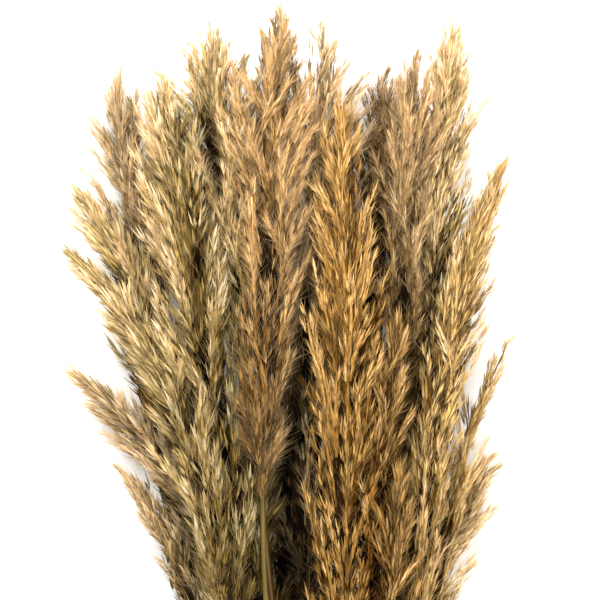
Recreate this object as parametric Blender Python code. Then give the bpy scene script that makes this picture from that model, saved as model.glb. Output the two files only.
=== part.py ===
# A bunch of dried common reeds, cut and lying on a flat surface. Each reed is a straw stem with
# swollen joints, made solid here, that ends in one feathery plume. A twine holds the stems together
# near their cut ends. The reeds run along Y with the plumes towards +Y, X is across the bunch and
# Z is up from the surface. Everything is in metres.
import math
from collections import namedtuple

import bmesh
import bpy
import numpy as np

# Lengthwise places, measured from the middle of the plumes that show best
TIE_Y = -0.520
CUT_Y = -0.650
CUT_UNEVENNESS = 0.016
CUT_WAVE = (4.1, 0.7)

# Stems: their thickness, their joints, and how they keep apart between the tie and the plumes
STEM_CUT_RADIUS = 0.0028
STEM_TOP_RADIUS = 0.0021
JOINT_SWELL = 1.28
JOINT_HALF_LENGTH = 0.003
STEM_STEP = 0.054
JOINTS_AT = (3, 7)
TIE_STRAIGHT = 0.008
STEM_SPACING = 0.0074
LOWEST_STEM_Z = 0.0045
SPREADING_ROUNDS = 200
SPREADING_PUSH = 0.4
SPREADING_SMOOTHING = 0.25
LAST_PIECE_SHARE = 0.5
SLOPE_STEP = 0.002

# Plumes: the places of their cross-sections, their form, and what they leave free round them
NOD_POWER = 3
PLUME_STEP = 0.0235
FOOT_CLEARANCE = 0.0082
TIP_CLEARANCE = 0.0070
TIP_HEADROOM = 0.0282
PLUME_SIDES = 10
PLUME_FOOT_POWER = 0.55
PLUME_TIP_POWER = 0.62
LOCK_GROWTH = (0.88, 1.06, 1.27)
FURROW = 0.67
LOCK_UNEVENNESS = 0.08
LOCK_WAVE = (5.3, 2.9)
PRESSED_SHARE = 0.92
LEAST_SHARE_RADIUS = 0.004
LEAST_FACING = 0.02
PLUME_GAP = 0.0022
STEM_GAP = 0.0016
JOIN_GAP = 0.0006

# Twine, and how the stems are packed where it holds them
TWINE_RADIUS = 0.0011
TWINE_PITCH = 0.0026
TWINE_TURNS = 5
TWINE_STEPS_PER_TURN = 15
TWINE_GAP = 0.0003
TIE_X = 0.008
LOW_Z = 0.016
SLOTS_PER_LEAN = (0.04, 0.08)
PACKED_SPACING = 0.0064
PACKING_ROUNDS = 400
PUSHES_PER_ROUND = 4
PACKING_PUSH = 0.35
SQUEEZE = 0.985
CUT_FLARE = 1.28

STRAW = (0.46, 0.36, 0.17)
TWINE = (0.42, 0.29, 0.15)

Reed = namedtuple("Reed", "tip foot lean length half_width tone")

# One row for each reed: the plume's tip x, y, z, its foot's x and z, how far it leans across for
# each metre along at its foot, its length along Y, its half-width and its colour. The upper layer
# comes first, then the middle, then the lowest.
PALE = (0.56, 0.46, 0.28)
GOLDEN = (0.55, 0.37, 0.15)
GREY = (0.36, 0.28, 0.18)
TAN = (0.50, 0.36, 0.20)
REEDS = (
    Reed((-0.013, 0.200, 0.098), (-0.026, 0.094), 0.02, 0.326, 0.031, TAN),
    Reed((0.027, 0.140, 0.106), (0.030, 0.072), 0.01, 0.430, 0.030, GOLDEN),
    Reed((-0.095, 0.152, 0.092), (-0.040, 0.060), -0.13, 0.375, 0.034, PALE),
    Reed((-0.162, 0.035, 0.086), (-0.050, 0.074), -0.09, 0.273, 0.026, PALE),
    Reed((0.081, 0.172, 0.092), (0.066, 0.042), 0.03, 0.347, 0.028, PALE),
    Reed((0.144, 0.100, 0.078), (0.080, 0.060), 0.05, 0.361, 0.023, GOLDEN),
    Reed((-0.038, -0.096, 0.042), (-0.022, 0.034), -0.05, 0.230, 0.024, PALE),
    Reed((0.016, 0.193, 0.060), (0.004, 0.044), 0.02, 0.420, 0.032, TAN),
    Reed((-0.064, 0.192, 0.064), (-0.027, 0.068), -0.09, 0.332, 0.045, TAN),
    Reed((-0.157, 0.078, 0.056), (-0.056, 0.047), -0.15, 0.302, 0.028, PALE),
    Reed((-0.165, -0.049, 0.042), (-0.052, 0.034), -0.06, 0.225, 0.028, TAN),
    Reed((-0.127, -0.117, 0.060), (-0.052, 0.048), -0.18, 0.190, 0.022, TAN),
    Reed((0.108, 0.195, 0.062), (0.078, 0.050), 0.09, 0.320, 0.031, PALE),
    Reed((0.148, -0.028, 0.050), (0.088, 0.040), 0.11, 0.242, 0.015, GOLDEN),
    Reed((0.069, -0.014, 0.088), (0.046, 0.064), 0.06, 0.245, 0.022, TAN),
    Reed((-0.129, 0.162, 0.030), (-0.076, 0.026), -0.25, 0.290, 0.029, TAN),
    Reed((0.062, 0.165, 0.026), (0.048, 0.022), 0.02, 0.300, 0.030, GREY),
    Reed((-0.030, 0.124, 0.020), (-0.006, 0.018), -0.08, 0.310, 0.031, GREY),
    Reed((-0.122, 0.030, 0.022), (-0.064, 0.019), -0.20, 0.275, 0.027, GREY),
    Reed((0.112, 0.066, 0.020), (0.074, 0.018), 0.12, 0.300, 0.027, GREY),
    Reed((0.138, -0.109, 0.028), (0.076, 0.020), 0.12, 0.195, 0.026, GOLDEN),
    Reed((0.012, -0.110, 0.026), (0.006, 0.020), 0.00, 0.240, 0.023, GREY),
    Reed((0.069, -0.117, 0.098), (0.062, 0.078), 0.02, 0.190, 0.024, GOLDEN),
)


def clear_scene():
    for old in list(bpy.data.objects):
        bpy.data.objects.remove(old)


def dry_material(name, colour, roughness):
    material = bpy.data.materials.new(name)
    material.use_nodes = True
    shader = material.node_tree.nodes["Principled BSDF"]
    shader.inputs["Base Color"].default_value = (*colour, 1.0)
    shader.inputs["Roughness"].default_value = roughness
    shader.inputs["Metallic"].default_value = 0.0
    return material


def foot_y(reed):
    return reed.tip[1] - reed.length


def packed_slots():
    """Where each stem passes the tie, as x, z. They start out in the order in which the stems lean
    away from the middle, then are pushed apart until no two are closer than PACKED_SPACING, as if
    squeezed in a fist."""
    feet = np.array([reed.foot for reed in REEDS]) - (TIE_X, LOW_Z)
    lean = feet / np.array([foot_y(reed) - TIE_Y for reed in REEDS])[:, None]
    slots = (lean - lean.mean(0)) * SLOTS_PER_LEAN
    for _ in range(PACKING_ROUNDS):
        slots *= SQUEEZE
        for _ in range(PUSHES_PER_ROUND):
            apart = slots[:, None] - slots[None]
            distance = np.linalg.norm(apart, axis=2) + np.eye(len(slots))
            short = np.clip(PACKED_SPACING - distance, 0, None) * (1 - np.eye(len(slots)))
            slots += (apart / distance[..., None] * short[..., None]).sum(1) * PACKING_PUSH
    lowest_centre = 2 * TWINE_RADIUS + TWINE_GAP + STEM_CUT_RADIUS
    return slots + (TIE_X - slots[:, 0].mean(), lowest_centre - slots[:, 1].min())


def cut_places(slots):
    """Where the cut ends lie: the stems spread a little below the tie and come down to the surface."""
    middle = np.array((TIE_X, slots[:, 1].min()))
    return middle + (slots - middle) * CUT_FLARE + (0, STEM_CUT_RADIUS - middle[1])


def on_curve(reed, slot, cut, y):
    """x, z of a reed's own line at each y: level at the tie, spreading to the plume's foot, then
    on to the plume's tip, which nods."""
    y = np.atleast_1d(y)[:, None]
    foot, tip = np.array(reed.foot), np.array((reed.tip[0], reed.tip[2]))
    foot_at, tip_at = foot_y(reed), reed.tip[1]
    slope = np.array((reed.lean, (tip[1] - slot[1]) / (tip_at - TIE_Y)))
    below = (TIE_Y - y) / (TIE_Y - CUT_Y)
    reach = foot_at - TIE_Y
    t = (y - TIE_Y) / reach
    spread = (
        slot * (1 + 2 * t) * (1 - t) ** 2
        + foot * t * t * (3 - 2 * t)
        + slope * reach * t * t * (t - 1)
    )
    along = y - foot_at
    bend = (tip - foot - slope * reed.length) * np.clip(along / reed.length, 0, 2) ** NOD_POWER
    plume = foot + slope * along + bend
    low = slot + (cut - slot) * below**2
    return np.where(y < TIE_Y, low, np.where(y < foot_at, spread, plume))


class Line:
    """A reed's centre line. Below the plume it is the run of straight pieces that the stem is made
    of, and above it is the smooth curve."""

    def __init__(self, reed, slot, cut, cut_y, planes):
        self.reed, self.slot, self.cut = reed, slot, cut
        self.foot_y, self.tip_y = foot_y(reed), reed.tip[1]
        self.inner = planes < self.foot_y - LAST_PIECE_SHARE * STEM_STEP
        level = (cut_y, TIE_Y - TIE_STRAIGHT, TIE_Y + TIE_STRAIGHT)
        self.stem_y = np.concatenate([level, planes[self.inner], [self.foot_y]])
        self.stem_at = on_curve(reed, slot, cut, self.stem_y)
        self.stem_at[1:3] = slot

    def at(self, y):
        y = np.atleast_1d(np.asarray(y, float))
        stem = np.stack([np.interp(y, self.stem_y, self.stem_at[:, k]) for k in (0, 1)], 1)
        smooth = on_curve(self.reed, self.slot, self.cut, y)
        return np.where((y < self.foot_y)[:, None], stem, smooth)

    def slope(self, y):
        return (self.at(y + SLOPE_STEP)[0] - self.at(y)[0]) / SLOPE_STEP

    def stem_radius(self, y):
        share = np.clip((y - CUT_Y) / (self.foot_y - CUT_Y), 0, 1)
        return STEM_CUT_RADIUS + (STEM_TOP_RADIUS - STEM_CUT_RADIUS) * share

    def plume_radius(self, y):
        """The free plume's half-width: quickly out from its foot, widest below the middle, and
        down to a point at its tip."""
        u = np.clip((y - self.foot_y) / self.reed.length, 0, 1)
        widest = PLUME_FOOT_POWER / (PLUME_FOOT_POWER + PLUME_TIP_POWER)
        peak = widest**PLUME_FOOT_POWER * (1 - widest) ** PLUME_TIP_POWER
        shape = u**PLUME_FOOT_POWER * (1 - u) ** PLUME_TIP_POWER / peak
        return float(self.reed.half_width * shape)


def spread_stems(lines, planes):
    """Pushes the stems apart where they would pass through each other between the tie and the
    plumes, a little at a time, and evens out each push along its stem."""
    push = np.zeros((len(lines), len(planes) + 2, 2))
    present = np.array([line.inner for line in lines])
    start = np.zeros((len(lines), len(planes), 2))
    for number, line in enumerate(lines):
        start[number, line.inner] = line.stem_at[3:-1]
    for _ in range(SPREADING_ROUNDS):
        bend = push[:, 2:] + push[:, :-2] - 2 * push[:, 1:-1]
        push[:, 1:-1] += SPREADING_SMOOTHING * bend
        push[:, 1:-1] *= present[..., None]
        for level in range(len(planes)):
            here = np.flatnonzero(present[:, level])
            now = (start[here] + push[here, 1:-1])[:, level]
            apart = now[:, None] - now[None]
            distance = np.linalg.norm(apart, axis=2) + np.eye(len(here))
            short = np.clip(STEM_SPACING - distance, 0, None) * (1 - np.eye(len(here)))
            away = (apart / distance[..., None] * short[..., None]).sum(1)
            push[here, level + 1] += away * SPREADING_PUSH
            low = start[here, level, 1] + push[here, level + 1, 1]
            push[here, level + 1, 1] += np.clip(LOWEST_STEM_Z - low, 0, None)
    for number, line in enumerate(lines):
        line.stem_at[3:-1] += push[number, 1:-1][line.inner]


def make_lines():
    slots = packed_slots()
    cuts = cut_places(slots)
    planes = np.arange(TIE_Y + STEM_STEP, 0, STEM_STEP)
    lines = []
    for number, (reed, slot, cut) in enumerate(zip(REEDS, slots, cuts)):
        uneven = CUT_UNEVENNESS * (0.5 + 0.5 * math.sin(CUT_WAVE[0] * number + CUT_WAVE[1]))
        lines.append(Line(reed, slot, cut, CUT_Y + uneven, planes))
    spread_stems(lines, planes)
    return lines


def room_around(line, lines, y, angles):
    """How far a plume may reach at y in each direction before it meets the surface that it lies on,
    a neighbouring plume or a neighbouring stem. Two plumes share the space between their lines in
    the ratio of their widths."""
    centre = line.at(y)[0]
    own = max(line.plume_radius(y), LEAST_SHARE_RADIUS)
    room = np.full(len(angles), np.inf)
    down = np.sin(angles) < -1e-6
    room[down] = centre[1] / -np.sin(angles[down])
    step = angles[1] - angles[0]
    for other in lines:
        if other is line or y > other.tip_y + TIP_HEADROOM:
            continue
        apart = other.at(y)[0] - centre
        distance = np.linalg.norm(apart)
        off = angles - math.atan2(apart[1], apart[0])
        off = (off + math.pi) % (2 * math.pi) - math.pi
        if y > other.foot_y - PLUME_STEP:
            theirs = max(other.plume_radius(y), LEAST_SHARE_RADIUS)
            limit = distance * own / (own + theirs) - PLUME_GAP / 2
            facing = np.cos(off) > LEAST_FACING
        else:
            thick = other.stem_radius(y) * JOINT_SWELL + STEM_GAP
            limit = distance - thick
            half = math.asin(min(1.0, thick / distance))
            facing = (np.abs(off) < step + half) & (np.cos(off) > LEAST_FACING)
        room[facing] = np.minimum(room[facing], limit / np.cos(off[facing]))
    return room


def plume_rings(number, line, lines):
    """The plume's cross-sections from its foot up. On its free sides it grows locks, tufts that
    widen upwards and end in a point, with a furrow between one row of locks and the next. Where
    something presses on it, it fills the space up to that."""
    planes = np.arange(-20, 20) * PLUME_STEP
    inside = (planes > line.foot_y + FOOT_CLEARANCE) & (planes < line.tip_y - TIP_CLEARANCE)
    angles = (np.arange(PLUME_SIDES) + 0.5) * 2 * math.pi / PLUME_SIDES
    ridge = (np.arange(PLUME_SIDES) + number) % 2 == 0
    rings = []
    for level in np.flatnonzero(inside):
        y = planes[level]
        width = line.plume_radius(y)
        stage = (level + np.arange(PLUME_SIDES) // 2 * 2 + number) % len(LOCK_GROWTH)
        form = np.where(ridge, np.take(LOCK_GROWTH, stage), FURROW)
        wave = np.sin(LOCK_WAVE[0] * level + LOCK_WAVE[1] * np.arange(PLUME_SIDES) + number)
        form = form * (1 + LOCK_UNEVENNESS * wave)
        room = room_around(line, lines, y, angles)
        free = np.minimum(form * width, room)
        reach = np.where(room < PRESSED_SHARE * width, room, free)
        centre = line.at(y)[0]
        x, z = centre[0] + reach * np.cos(angles), centre[1] + reach * np.sin(angles)
        rings.append(np.stack([x, np.full(PLUME_SIDES, y), np.clip(z, 0, None)], 1))
    foot, slope = line.at(line.foot_y)[0], line.slope(line.foot_y)
    across = np.stack([np.cos(angles), np.sin(angles)], 1) * STEM_TOP_RADIUS
    spread = across + foot
    rings.insert(0, np.stack([spread[:, 0], line.foot_y - across @ slope, spread[:, 1]], 1))
    return rings


def make_plume(number, line, lines):
    rings = plume_rings(number, line, lines)
    mesh = bpy.data.meshes.new(f"plume_{number + 1:02d}")
    shape = bmesh.new()
    loops = [[shape.verts.new(point) for point in ring] for ring in rings]
    tip_x, tip_z = line.at(line.tip_y)[0]
    tip = shape.verts.new((tip_x, line.tip_y, tip_z))
    shape.faces.new(loops[0])
    for low, high in zip(loops, loops[1:]):
        for k in range(PLUME_SIDES):
            n = (k + 1) % PLUME_SIDES
            shape.faces.new((low[k], high[k], high[n], low[n]))
    for k in range(PLUME_SIDES):
        shape.faces.new((loops[-1][k], tip, loops[-1][(k + 1) % PLUME_SIDES]))
    bmesh.ops.recalc_face_normals(shape, faces=shape.faces)
    shape.to_mesh(mesh)
    shape.free()
    plume = bpy.data.objects.new(mesh.name, mesh)
    mesh.materials.append(dry_material(mesh.name, line.reed.tone, 0.85))
    return plume


def tube(name, points, radii, sides_level, material):
    """A round bar through the points, with its own radius at each, closed at both ends."""
    curve = bpy.data.curves.new(name, "CURVE")
    curve.dimensions = "3D"
    curve.bevel_depth = 1.0
    curve.bevel_resolution = sides_level
    curve.use_fill_caps = True
    spline = curve.splines.new("POLY")
    spline.points.add(len(points) - 1)
    for point, place, radius in zip(spline.points, points, radii):
        point.co = (*place, 1.0)
        point.radius = radius
    curve.materials.append(material)
    return bpy.data.objects.new(name, curve)


def make_stem(number, line):
    """The straw from its cut end to the plume's foot, with a swollen ring at each joint."""
    places, radii = [], []
    last = len(line.stem_y) - 1
    for k, y in enumerate(line.stem_y):
        radius = line.stem_radius(y)
        if k == last:
            y -= JOIN_GAP
        if k in JOINTS_AT and k < last:
            for offset, swell in ((-1, 1.0), (0, JOINT_SWELL), (1, 1.0)):
                places.append(y + offset * JOINT_HALF_LENGTH)
                radii.append(radius * swell)
        else:
            places.append(y)
            radii.append(radius)
    across = line.at(np.array(places))
    points = [(x, y, z) for (x, z), y in zip(across, places)]
    name = f"stem_{number + 1:02d}"
    return tube(name, points, radii, 1, dry_material(name, STRAW, 0.6))


def make_tie(lines):
    """Twine wound side by side round the stems. Its path is the outline of the packed stems, moved
    out by the stem's and the twine's radius: with h the reach of the outline in direction a, the
    path is h times the direction plus h's rate of change times the direction across it."""
    centres = np.array([line.slot for line in lines])
    middle = centres.mean(0)
    grow = STEM_CUT_RADIUS + TWINE_GAP + TWINE_RADIUS
    steps = TWINE_TURNS * TWINE_STEPS_PER_TURN
    points = []
    for k in range(steps + 1):
        angle = 2 * math.pi * k / TWINE_STEPS_PER_TURN
        out = np.array((math.cos(angle), math.sin(angle)))
        across = np.array((-out[1], out[0]))
        farthest = (centres - middle)[np.argmax((centres - middle) @ out)]
        x, z = middle + out * (farthest @ out + grow) + across * (farthest @ across)
        y = TIE_Y + TWINE_PITCH * TWINE_TURNS * (k / steps - 0.5)
        points.append((x, y, z))
    radii = [TWINE_RADIUS] * len(points)
    return tube("tie", points, radii, 1, dry_material("twine", TWINE, 0.9))


def centre_over_origin(pieces):
    """Moves the bunch so that the middle of its underside is the origin."""
    bpy.context.view_layer.update()
    graph = bpy.context.evaluated_depsgraph_get()
    corners = []
    for piece in pieces:
        mesh = piece.evaluated_get(graph).to_mesh()
        corners += [vertex.co.copy() for vertex in mesh.vertices]
        piece.evaluated_get(graph).to_mesh_clear()
    corners = np.array(corners)
    low, high = corners.min(0), corners.max(0)
    bunch = bpy.data.objects.new("bunch", None)
    bpy.context.scene.collection.objects.link(bunch)
    bunch.location = (-(low[0] + high[0]) / 2, -(low[1] + high[1]) / 2, -low[2])
    for piece in pieces:
        piece.parent = bunch


def main():
    clear_scene()
    lines = make_lines()
    pieces = [make_stem(number, line) for number, line in enumerate(lines)]
    pieces += [make_plume(number, line, lines) for number, line in enumerate(lines)]
    pieces.append(make_tie(lines))
    for piece in pieces:
        bpy.context.scene.collection.objects.link(piece)
    centre_over_origin(pieces)


main()
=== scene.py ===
# Looks of a tied bunch of dried reeds. Each plume is grown here as one mesh of stalk, branches,
# lance-shaped husks and silky hairs round the line of its solid, each stem is a jointed straw, and
# the tie is two-ply twine. Lengths are in metres; the reeds run along Y and lie on the floor at z = 0.
import math

import bpy
import numpy as np
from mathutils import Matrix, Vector


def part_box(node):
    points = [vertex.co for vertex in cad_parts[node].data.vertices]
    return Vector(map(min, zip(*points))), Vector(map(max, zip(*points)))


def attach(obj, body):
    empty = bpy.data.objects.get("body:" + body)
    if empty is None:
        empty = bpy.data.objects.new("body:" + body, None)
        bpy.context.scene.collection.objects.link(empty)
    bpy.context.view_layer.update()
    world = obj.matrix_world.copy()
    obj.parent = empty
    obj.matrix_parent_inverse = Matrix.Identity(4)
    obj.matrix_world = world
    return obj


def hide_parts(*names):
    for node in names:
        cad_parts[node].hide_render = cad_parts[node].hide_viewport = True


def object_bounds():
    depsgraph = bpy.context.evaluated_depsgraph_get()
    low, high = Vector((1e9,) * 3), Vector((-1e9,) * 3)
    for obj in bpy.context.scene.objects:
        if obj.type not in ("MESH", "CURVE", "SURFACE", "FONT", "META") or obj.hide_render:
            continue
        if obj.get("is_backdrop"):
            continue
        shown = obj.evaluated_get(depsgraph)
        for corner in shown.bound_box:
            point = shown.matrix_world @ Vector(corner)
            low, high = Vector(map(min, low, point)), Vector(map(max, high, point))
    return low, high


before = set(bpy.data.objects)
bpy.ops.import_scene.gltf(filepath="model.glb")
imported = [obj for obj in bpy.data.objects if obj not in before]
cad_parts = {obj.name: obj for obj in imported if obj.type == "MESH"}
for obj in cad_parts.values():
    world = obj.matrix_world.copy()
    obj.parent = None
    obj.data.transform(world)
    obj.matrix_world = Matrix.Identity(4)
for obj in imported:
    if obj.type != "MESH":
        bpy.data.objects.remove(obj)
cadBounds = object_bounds()
goldenAngle = math.pi * (3 - math.sqrt(5))
anyTurn = (0, 6.28)


def srgb(red, green, blue):
    # A colour picked on screen, 0 to 255, as linear light: ((c + 0.055) / 1.055) ^ 2.4
    c = np.array((red, green, blue)) / 255
    return np.where(c <= 0.04045, c / 12.92, ((c + 0.055) / 1.055) ** 2.4)


def unit(v):
    # A vector, or a whole array of them, divided by its length
    return v / np.maximum(np.linalg.norm(v, axis=-1, keepdims=True), 1e-9)


def crossAxes(direction):
    # Two directions at right angles to each given one: direction x Z (or x X where it points up)
    helper = np.where(np.abs(direction[..., 2:3]) < 0.9, (0.0, 0.0, 1.0), (1.0, 0.0, 0.0))
    first = unit(np.cross(direction, helper))
    return first, np.cross(direction, first)


def splayed(aim, turn):
    # A direction at right angles to each aim, turned round it: cos(turn) * first + sin(turn) * second
    first, second = crossAxes(aim)
    return first * np.cos(turn)[..., None] + second * np.sin(turn)[..., None]


def spokes(direction, sides):
    # Even spokes round each direction: cos(a) * first axis + sin(a) * second axis
    first, second = crossAxes(unit(direction))
    angle = np.arange(sides) * 2 * math.pi / sides
    return np.cos(angle)[:, None] * first[..., None, :] + np.sin(angle)[:, None] * second[..., None, :]


def acrossAt(angle):
    # The direction across the reeds at an angle from X: (cos a, 0, sin a)
    return np.stack([np.cos(angle), 0 * angle, np.sin(angle)], 1)


def solidPoints(node):
    # A node's corner points with doubles dropped, sorted from the cut end towards the tip
    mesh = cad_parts[node].data
    points = np.empty(len(mesh.vertices) * 3, np.float32)
    mesh.vertices.foreach_get("co", points)
    points = np.unique(np.round(points.reshape(-1, 3).astype(float), 6), axis=0)
    return points[np.argsort(points[:, 1])]


def addObject(name, data):
    # A new object in the scene
    thing = bpy.data.objects.new(name, data)
    bpy.context.scene.collection.objects.link(thing)
    return thing


def meshPiece(name, points, faces, materials, materialOf=0, tint=None, smooth=False):
    # One mesh object from whole arrays: a row per point, a row of point numbers per face, the
    # number of each face's material, and a colour for each point
    mesh = bpy.data.meshes.new(name)
    corners = faces.shape[1]
    mesh.vertices.add(len(points))
    mesh.vertices.foreach_set("co", points.astype(np.float32).ravel())
    mesh.loops.add(faces.size)
    mesh.loops.foreach_set("vertex_index", faces.astype(np.int32).ravel())
    mesh.polygons.add(len(faces))
    mesh.polygons.foreach_set("loop_start", np.arange(0, faces.size, corners, dtype=np.int32))
    mesh.update(calc_edges=True)
    mesh.polygons.foreach_set("material_index", np.zeros(len(faces), np.int32) + np.int32(materialOf))
    mesh.polygons.foreach_set("use_smooth", np.full(len(faces), smooth))
    if tint is not None:
        layer = mesh.attributes.new("tint", "FLOAT_COLOR", "POINT")
        opaque = np.column_stack([tint, np.ones(len(tint))])
        layer.data.foreach_set("color", opaque.astype(np.float32).ravel())
    for material in materials:
        mesh.materials.append(material)
    return addObject(name, mesh)


def profileTube(line, radii, sides):
    # A round profile carried along a line, or along many lines at once:
    # point(i, j) = line(i) + radius(i, j) * spoke(i, j), with the spokes square to the line
    return line[..., None, :] + spokes(np.gradient(line, axis=-2), sides) * radii[..., None]


def tubeFaces(rows, sides):
    # Two triangles in each cell of a tube's grid, facing outwards, and a fan over each of its ends
    i, j = np.meshgrid(np.arange(rows - 1), np.arange(sides), indexing="ij")
    k = (j + 1) % sides
    here, beside, far, above = i * sides + j, i * sides + k, (i + 1) * sides + k, (i + 1) * sides + j
    walls = np.stack([here, beside, far, here, far, above], -1).reshape(-1, 3)
    fan = np.arange(1, sides - 1)
    foot = np.stack([0 * fan, fan + 1, fan], 1)
    head = np.stack([0 * fan, fan, fan + 1], 1) + (rows - 1) * sides
    return np.concatenate([walls, foot, head])


def repeated(faces, count, points):
    # The faces of one shape as those of count shapes, each with so many points
    return np.asarray(faces)[None] + points * np.arange(count)[:, None, None]


def joined(shapes):
    # Several shapes as one: all their points, faces and tints, and how many faces each one has
    starts = np.cumsum([0] + [shape[0].size // 3 for shape in shapes])
    points, tints = (np.concatenate([shape[k].reshape(-1, 3) for shape in shapes]) for k in (0, 2))
    faces = [shape[1].reshape(-1, 3) + start for shape, start in zip(shapes, starts)]
    return points, np.concatenate(faces), tints, [len(part) for part in faces]


def plug(tree, place, value):
    # Links a wire to an input socket, or gives the socket a plain value
    if isinstance(value, Wire):
        tree.links.new(value.socket, place)
    else:
        place.default_value = value


class Wire:
    # One output socket. + - * on wires and numbers add Math nodes to the tree that it is in.
    def __init__(self, tree, socket):
        self.tree, self.socket = tree, socket

    def join(self, operation, a, b):
        node = self.tree.nodes.new("ShaderNodeMath")
        node.operation = operation
        for place, value in zip(node.inputs, (a, b)):
            plug(self.tree, place, value)
        return Wire(self.tree, node.outputs[0])

    def __add__(self, other):
        return self.join("ADD", self, other)

    def __radd__(self, other):
        return self.join("ADD", other, self)

    def __sub__(self, other):
        return self.join("SUBTRACT", self, other)

    def __rsub__(self, other):
        return self.join("SUBTRACT", other, self)

    def __mul__(self, other):
        return self.join("MULTIPLY", self, other)

    def __rmul__(self, other):
        return self.join("MULTIPLY", other, self)


class Finish:
    # A new material. add() makes any node, with its settings and its inputs by name or as _0, _1
    def __init__(self, name):
        self.material = bpy.data.materials.new(name)
        self.material.use_nodes = True
        self.tree = self.material.node_tree
        self.tree.nodes.clear()

    def add(self, kind, settings=None, output=0, **sockets):
        node = self.tree.nodes.new(kind)
        for setting, value in (settings or {}).items():
            setattr(node, setting, value)
        for name, value in sockets.items():
            place = int(name[1:]) if name[0] == "_" else name.replace("_", " ")
            plug(self.tree, node.inputs[place], value)
        return Wire(self.tree, node.outputs[output])

    def tint(self):
        return self.add("ShaderNodeAttribute", {"attribute_name": "tint"}, "Color")

    def noise(self, scale, detail, stretch=(1, 1, 1)):
        place = self.add("ShaderNodeTexCoord", output="Object")
        place = self.add("ShaderNodeMapping", Vector=place, Scale=stretch)
        return self.add("ShaderNodeTexNoise", Vector=place, Scale=scale, Detail=detail)

    def scaled(self, colour, share):
        return self.add("ShaderNodeVectorMath", {"operation": "SCALE"}, _0=colour, Scale=share)

    def bump(self, height, strength, depth):
        return self.add("ShaderNodeBump", Height=height, Strength=strength, Distance=depth)

    def surface(self, colour, roughness, shine=0.5, **more):
        shared = {"Base_Color": colour, "Roughness": roughness, "Specular_IOR_Level": shine}
        return self.add("ShaderNodeBsdfPrincipled", **shared, **more)

    def letThrough(self, body, tint, strength):
        # Lets a share of the light come through: strength * how light the tint is
        green = self.add("ShaderNodeSeparateColor", output=1, Color=tint)
        light = self.add("ShaderNodeBsdfTranslucent", Color=lightThrough)
        return self.add("ShaderNodeMixShader", _0=green * strength, _1=body, _2=light)

    def close(self, surface):
        out = self.tree.nodes.new("ShaderNodeOutputMaterial")
        plug(self.tree, out.inputs["Surface"], surface)
        return self.material


# A noise is given as its scale, detail and stretch, a bump as its strength and depth
lightThrough = (*srgb(240, 204, 146), 1)  # what a dry husk lets through
silkLook = {"roughness": 0.6, "shine": 0.05, "through": 0.8}
huskLook = {
    "cloud": (900, 3),
    "clouding": 0.30,
    "roughness": (0.3, 0.5),  # what the cloud adds, and the least
    "shine": 0.06,
    "streak": (4000, 1, (1, 0.15, 1)),
    "bump": (0.35, 0.0002),
    "through": 0.50,
}
strawLook = {
    "streak": (2600, 4, (1, 0.02, 1)),
    "blotch": (120, 3, (1, 0.3, 1)),
    "shares": (0.5, 0.5, 0.5),  # of the streak and the blotch, and the least
    "roughness": (0.3, 0.28),
    "bump": (0.4, 0.0002),
}
dullLooks = {  # grain, its contrast, how much darker than that, bump, shine
    "shadedDown": ((520, 4, (1, 0.10, 1)), 4.4, 1.2, (1.0, 0.0012), 0.05),
    "twine": ((1800, 4), 1.2, -0.4, (0.6, 0.0003), 0.5),
}


def huskFinish():
    # Dry papery husk: its own tint, clouded by fine noise, letting a little light through
    finish = Finish("husk")
    tint = finish.tint()
    cloud = finish.noise(*huskLook["cloud"])
    shade = cloud * huskLook["clouding"] * 2 + (1 - huskLook["clouding"])
    streak = finish.noise(*huskLook["streak"])
    more, least = huskLook["roughness"]
    bump = finish.bump(streak, *huskLook["bump"])
    body = finish.surface(finish.scaled(tint, shade), cloud * more + least, huskLook["shine"], Normal=bump)
    return finish.close(finish.letThrough(body, tint, huskLook["through"]))


def silkFinish():
    # Fine silky hair: pale, and much of its light comes through it
    finish = Finish("silk")
    tint = finish.tint()
    body = finish.surface(tint, silkLook["roughness"], silkLook["shine"])
    return finish.close(finish.letThrough(body, tint, silkLook["through"]))


def strawFinish():
    # Straw: lengthwise streaks and longer blotches over its tint, with a faint waxy gloss
    finish = Finish("straw")
    streak = finish.noise(*strawLook["streak"])
    blotch = finish.noise(*strawLook["blotch"])
    streakShare, blotchShare, least = strawLook["shares"]
    more, smoothest = strawLook["roughness"]
    colour = finish.scaled(finish.tint(), streak * streakShare + blotch * blotchShare + least)
    bump = finish.bump(streak, *strawLook["bump"])
    return finish.close(finish.surface(colour, blotch * more + smoothest, Normal=bump))


def dullFinish(name):
    # Packed down, whose tint carries painted shade, or jute: its tint * (contrast * grain - darker),
    # dull and uneven
    grain, contrast, darker, bump, shine = dullLooks[name]
    finish = Finish(name)
    grain = finish.noise(*grain)
    colour = finish.scaled(finish.tint(), grain * contrast - darker)
    return finish.close(finish.surface(colour, 0.9, shine, Normal=finish.bump(grain, *bump)))


husk = huskFinish()
silk = silkFinish()
shadedDown = dullFinish("shadedDown")
straw = strawFinish()
twine = dullFinish("twine")
print("finishes made")


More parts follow.
